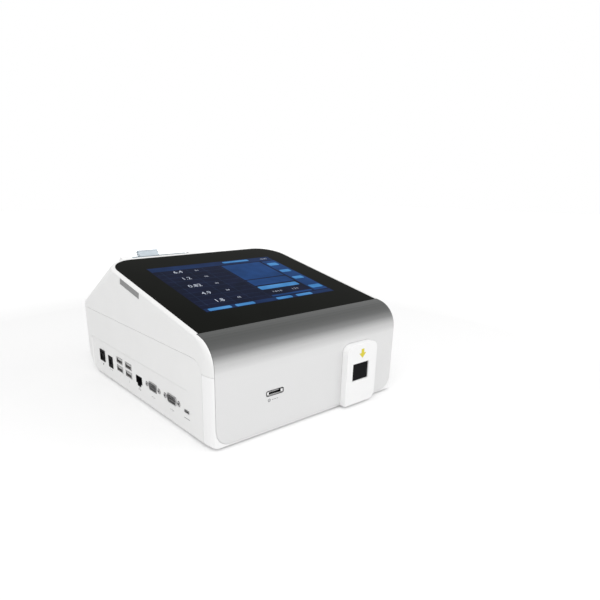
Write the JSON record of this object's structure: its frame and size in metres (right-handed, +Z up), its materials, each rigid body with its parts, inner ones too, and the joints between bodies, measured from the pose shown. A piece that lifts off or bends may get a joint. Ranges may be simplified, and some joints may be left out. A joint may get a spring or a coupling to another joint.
{
  "type": "rapid test reader",
  "caption": "Bench reader for rapid test cartridges with a sloped touch screen, a motor-driven cartridge tray, side ports and a rear roll printer.",
  "frame": {"origin": "centre of the bounding box at the underside of the feet", "axes": "+X to the right seen from the front, +Y from the front to the back, +Z up"},
  "size_m": [0.228, 0.277, 0.1388],
  "materials": {
    "white_plastic": "fine moulded texture",
    "frame_plastic": "smooth satin",
    "satin_silver": "satin silver lacquer",
    "black_glass": "polished",
    "black_plastic": "matt",
    "gray_rubber": "matt",
    "board_green": "solder mask",
    "bright_metal": "plated",
    "clear_plastic": "clear",
    "gear_plastic": "natural",
    "paper_white": "thermal paper",
    "screen_black": "display"
  },
  "bodies": {
    "case": {"lower_housing": "white_plastic", "upper_housing": "white_plastic", "front_frame": "frame_plastic", "slot_cover": "frame_plastic", "tray_rails": "frame_plastic", "chip_contacts": "frame_plastic", "printer_frame": "frame_plastic", "front_panel": "satin_silver", "cover_glass": "black_glass", "reader_head": "black_plastic", "chip_socket": "black_plastic", "lan_jack": "black_plastic", "power_jack": "black_plastic", "switch_frame": "black_plastic", "print_head": "black_plastic", "grip_inlay_left": "gray_rubber", "grip_inlay_right": "gray_rubber", "foot_1": "gray_rubber", "foot_2": "gray_rubber", "foot_3": "gray_rubber", "foot_4": "gray_rubber", "reader_board": "board_green", "main_board": "board_green", "screen_bracket": "bright_metal", "tray_motor": "bright_metal", "usb_front": "bright_metal", "usb_rear": "bright_metal", "serial_front": "bright_metal", "serial_rear": "bright_metal", "service_port": "bright_metal", "hinge_pin": "bright_metal", "printer_motor": "bright_metal", "tear_bar": "bright_metal", "housing_screw_1": "bright_metal", "housing_screw_2": "bright_metal", "housing_screw_3": "bright_metal", "housing_screw_4": "bright_metal", "reader_lens": "clear_plastic", "screen_ribbon": "gear_plastic", "screen_module": "screen_black"},
    "tray": {"cartridge_tray": "black_plastic"},
    "pinion": {"tray_pinion": "gear_plastic", "pinion_shaft": "bright_metal"},
    "lid": {"printer_lid": "clear_plastic"},
    "platen": {"platen_roller": "gray_rubber", "platen_shaft": "bright_metal", "platen_gear": "gear_plastic"},
    "printer_drive": {"motor_gear": "gear_plastic", "motor_shaft": "bright_metal"},
    "roll": {"paper_roll": "paper_white"},
    "rocker": {"power_rocker": "black_plastic"}
  },
  "joints": [
    {"name": "tray_slide", "type": "slide", "parent": "case", "child": "tray", "axis": [0, -1, 0], "range_m": [0, 0.075]},
    {"name": "pinion_spin", "type": "hinge", "parent": "case", "child": "pinion", "pos_m": [0.0548, -0.1105, 0.02325], "axis": [1, 0, 0], "range_deg": [0, 805]},
    {"name": "lid_hinge", "type": "hinge", "parent": "case", "child": "lid", "pos_m": [0, 0.12957, 0.09041], "axis": [-1, 0, 0], "range_deg": [0, 95]},
    {"name": "platen_spin", "type": "hinge", "parent": "case", "child": "platen", "pos_m": [0, 0.07912, 0.12137], "axis": [1, 0, 0], "continuous": true},
    {"name": "drive_spin", "type": "hinge", "parent": "case", "child": "printer_drive", "pos_m": [0, 0.07658, 0.11366], "axis": [1, 0, 0], "continuous": true},
    {"name": "roll_spin", "type": "hinge", "parent": "case", "child": "roll", "pos_m": [0, 0.09273, 0.08638], "axis": [1, 0, 0], "continuous": true},
    {"name": "rocker_tilt", "type": "hinge", "parent": "case", "child": "rocker", "pos_m": [-0.1088, 0.0955, 0.0251], "axis": [0, 1, 0], "range_deg": [0, 18]}
  ],
  "couplings": [
    {"joint": "pinion_spin", "follows": "tray_slide", "rad_per_m": 187},
    {"joint": "drive_spin", "follows": "platen_spin", "ratio": -1.8}
  ]
}
